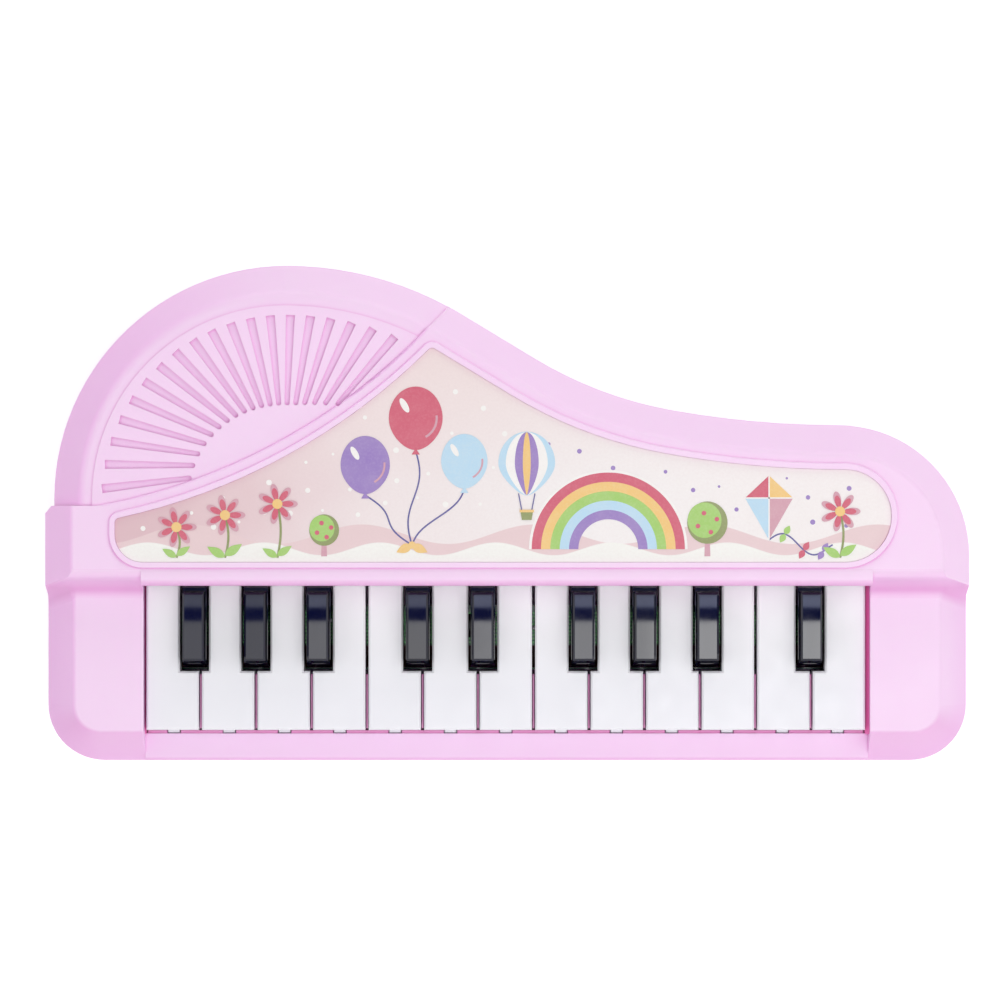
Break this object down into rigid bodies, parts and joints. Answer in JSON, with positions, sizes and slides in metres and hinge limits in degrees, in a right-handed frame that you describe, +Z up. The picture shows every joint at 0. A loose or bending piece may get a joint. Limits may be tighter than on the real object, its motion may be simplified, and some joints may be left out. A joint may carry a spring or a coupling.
{
  "type": "toy piano",
  "caption": "Small battery toy keyboard in a grand piano outline: hollow pink case, fan-grooved dome, printed panel, sprung white and black keys, speaker, battery box and slide switch.",
  "frame": {"origin": "centre of the case's outline box on the table under the feet", "axes": "+X to the right along the keyboard, +Y away from the player, +Z up"},
  "size_m": [0.25, 0.1346, 0.0358],
  "materials": {
    "pink_case": "satin moulded plastic, fine even texture",
    "pink_base": "matt moulded plastic",
    "printed_card": "printed card, matt",
    "white_key": "polished white plastic",
    "black_key": "polished black plastic",
    "inner_plastic": "plain moulded plastic",
    "circuit_board": "green lacquered board",
    "contact_rubber": "soft dark rubber",
    "potting": "black potting resin",
    "plated_steel": "plated sheet",
    "paper_cone": "pressed paper",
    "magnet": "ferrite and plated plate",
    "cell_jacket": "plain printed jacket",
    "black_plastic": "moulded plastic",
    "screw_steel": "zinc plated",
    "foot_rubber": "soft rubber"
  },
  "bodies": {
    "case": {"top_shell": "pink_case", "bottom_shell": "pink_base", "panel_label": "printed_card", "key_rail": "inner_plastic", "main_board": "circuit_board", "contact_strip": "contact_rubber", "chip_blob": "potting", "speaker_frame": "plated_steel", "speaker_cone": "paper_cone", "speaker_magnet": "magnet", "battery_cell_1": "cell_jacket", "battery_cell_2": "cell_jacket", "battery_contacts": "plated_steel", "switch_body": "plated_steel", "case_screws": "screw_steel", "board_screws": "screw_steel", "rubber_feet": "foot_rubber"},
    "white_key_01": {"white_key_01": "white_key"},
    "white_key_02": {"white_key_02": "white_key"},
    "white_key_03": {"white_key_03": "white_key"},
    "white_key_04": {"white_key_04": "white_key"},
    "white_key_05": {"white_key_05": "white_key"},
    "white_key_06": {"white_key_06": "white_key"},
    "white_key_07": {"white_key_07": "white_key"},
    "white_key_08": {"white_key_08": "white_key"},
    "white_key_09": {"white_key_09": "white_key"},
    "white_key_10": {"white_key_10": "white_key"},
    "white_key_11": {"white_key_11": "white_key"},
    "white_key_12": {"white_key_12": "white_key"},
    "white_key_13": {"white_key_13": "white_key"},
    "black_key_01": {"black_key_01": "black_key"},
    "black_key_02": {"black_key_02": "black_key"},
    "black_key_03": {"black_key_03": "black_key"},
    "black_key_04": {"black_key_04": "black_key"},
    "black_key_05": {"black_key_05": "black_key"},
    "black_key_06": {"black_key_06": "black_key"},
    "black_key_07": {"black_key_07": "black_key"},
    "black_key_08": {"black_key_08": "black_key"},
    "black_key_09": {"black_key_09": "black_key"},
    "battery_door": {"battery_door": "pink_base"},
    "switch_slider": {"switch_slider": "black_plastic"}
  },
  "joints": [
    {"name": "white_key_01_press", "type": "hinge", "parent": "case", "child": "white_key_01", "pos_m": [0, -0.009, 0.02], "axis": [1, 0, 0], "range_deg": [0, 4.5], "stiffness_Nm_per_rad": 0.15, "springref_deg": -8.59, "deforming": ["contact_strip"]},
    {"name": "white_key_02_press", "type": "hinge", "parent": "case", "child": "white_key_02", "pos_m": [0, -0.009, 0.02], "axis": [1, 0, 0], "range_deg": [0, 4.5], "stiffness_Nm_per_rad": 0.15, "springref_deg": -8.59, "deforming": ["contact_strip"]},
    {"name": "white_key_03_press", "type": "hinge", "parent": "case", "child": "white_key_03", "pos_m": [0, -0.009, 0.02], "axis": [1, 0, 0], "range_deg": [0, 4.5], "stiffness_Nm_per_rad": 0.15, "springref_deg": -8.59, "deforming": ["contact_strip"]},
    {"name": "white_key_04_press", "type": "hinge", "parent": "case", "child": "white_key_04", "pos_m": [0, -0.009, 0.02], "axis": [1, 0, 0], "range_deg": [0, 4.5], "stiffness_Nm_per_rad": 0.15, "springref_deg": -8.59, "deforming": ["contact_strip"]},
    {"name": "white_key_05_press", "type": "hinge", "parent": "case", "child": "white_key_05", "pos_m": [0, -0.009, 0.02], "axis": [1, 0, 0], "range_deg": [0, 4.5], "stiffness_Nm_per_rad": 0.15, "springref_deg": -8.59, "deforming": ["contact_strip"]},
    {"name": "white_key_06_press", "type": "hinge", "parent": "case", "child": "white_key_06", "pos_m": [0, -0.009, 0.02], "axis": [1, 0, 0], "range_deg": [0, 4.5], "stiffness_Nm_per_rad": 0.15, "springref_deg": -8.59, "deforming": ["contact_strip"]},
    {"name": "white_key_07_press", "type": "hinge", "parent": "case", "child": "white_key_07", "pos_m": [0, -0.009, 0.02], "axis": [1, 0, 0], "range_deg": [0, 4.5], "stiffness_Nm_per_rad": 0.15, "springref_deg": -8.59, "deforming": ["contact_strip"]},
    {"name": "white_key_08_press", "type": "hinge", "parent": "case", "child": "white_key_08", "pos_m": [0, -0.009, 0.02], "axis": [1, 0, 0], "range_deg": [0, 4.5], "stiffness_Nm_per_rad": 0.15, "springref_deg": -8.59, "deforming": ["contact_strip"]},
    {"name": "white_key_09_press", "type": "hinge", "parent": "case", "child": "white_key_09", "pos_m": [0, -0.009, 0.02], "axis": [1, 0, 0], "range_deg": [0, 4.5], "stiffness_Nm_per_rad": 0.15, "springref_deg": -8.59, "deforming": ["contact_strip"]},
    {"name": "white_key_10_press", "type": "hinge", "parent": "case", "child": "white_key_10", "pos_m": [0, -0.009, 0.02], "axis": [1, 0, 0], "range_deg": [0, 4.5], "stiffness_Nm_per_rad": 0.15, "springref_deg": -8.59, "deforming": ["contact_strip"]},
    {"name": "white_key_11_press", "type": "hinge", "parent": "case", "child": "white_key_11", "pos_m": [0, -0.009, 0.02], "axis": [1, 0, 0], "range_deg": [0, 4.5], "stiffness_Nm_per_rad": 0.15, "springref_deg": -8.59, "deforming": ["contact_strip"]},
    {"name": "white_key_12_press", "type": "hinge", "parent": "case", "child": "white_key_12", "pos_m": [0, -0.009, 0.02], "axis": [1, 0, 0], "range_deg": [0, 4.5], "stiffness_Nm_per_rad": 0.15, "springref_deg": -8.59, "deforming": ["contact_strip"]},
    {"name": "white_key_13_press", "type": "hinge", "parent": "case", "child": "white_key_13", "pos_m": [0, -0.009, 0.02], "axis": [1, 0, 0], "range_deg": [0, 4.5], "stiffness_Nm_per_rad": 0.15, "springref_deg": -8.59, "deforming": ["contact_strip"]},
    {"name": "black_key_01_press", "type": "hinge", "parent": "case", "child": "black_key_01", "pos_m": [0, -0.009, 0.02], "axis": [1, 0, 0], "range_deg": [0, 4.5], "stiffness_Nm_per_rad": 0.15, "springref_deg": -8.59, "deforming": ["contact_strip"]},
    {"name": "black_key_02_press", "type": "hinge", "parent": "case", "child": "black_key_02", "pos_m": [0, -0.009, 0.02], "axis": [1, 0, 0], "range_deg": [0, 4.5], "stiffness_Nm_per_rad": 0.15, "springref_deg": -8.59, "deforming": ["contact_strip"]},
    {"name": "black_key_03_press", "type": "hinge", "parent": "case", "child": "black_key_03", "pos_m": [0, -0.009, 0.02], "axis": [1, 0, 0], "range_deg": [0, 4.5], "stiffness_Nm_per_rad": 0.15, "springref_deg": -8.59, "deforming": ["contact_strip"]},
    {"name": "black_key_04_press", "type": "hinge", "parent": "case", "child": "black_key_04", "pos_m": [0, -0.009, 0.02], "axis": [1, 0, 0], "range_deg": [0, 4.5], "stiffness_Nm_per_rad": 0.15, "springref_deg": -8.59, "deforming": ["contact_strip"]},
    {"name": "black_key_05_press", "type": "hinge", "parent": "case", "child": "black_key_05", "pos_m": [0, -0.009, 0.02], "axis": [1, 0, 0], "range_deg": [0, 4.5], "stiffness_Nm_per_rad": 0.15, "springref_deg": -8.59, "deforming": ["contact_strip"]},
    {"name": "black_key_06_press", "type": "hinge", "parent": "case", "child": "black_key_06", "pos_m": [0, -0.009, 0.02], "axis": [1, 0, 0], "range_deg": [0, 4.5], "stiffness_Nm_per_rad": 0.15, "springref_deg": -8.59, "deforming": ["contact_strip"]},
    {"name": "black_key_07_press", "type": "hinge", "parent": "case", "child": "black_key_07", "pos_m": [0, -0.009, 0.02], "axis": [1, 0, 0], "range_deg": [0, 4.5], "stiffness_Nm_per_rad": 0.15, "springref_deg": -8.59, "deforming": ["contact_strip"]},
    {"name": "black_key_08_press", "type": "hinge", "parent": "case", "child": "black_key_08", "pos_m": [0, -0.009, 0.02], "axis": [1, 0, 0], "range_deg": [0, 4.5], "stiffness_Nm_per_rad": 0.15, "springref_deg": -8.59, "deforming": ["contact_strip"]},
    {"name": "black_key_09_press", "type": "hinge", "parent": "case", "child": "black_key_09", "pos_m": [0, -0.009, 0.02], "axis": [1, 0, 0], "range_deg": [0, 4.5], "stiffness_Nm_per_rad": 0.15, "springref_deg": -8.59, "deforming": ["contact_strip"]},
    {"name": "battery_door_open", "type": "hinge", "parent": "case", "child": "battery_door", "pos_m": [-0.03035, 0.014, 0.0025], "axis": [0, 1, 0], "range_deg": [0, 80]},
    {"name": "switch_slide", "type": "slide", "parent": "case", "child": "switch_slider", "axis": [1, 0, 0], "range_m": [0, 0.004]}
  ]
}
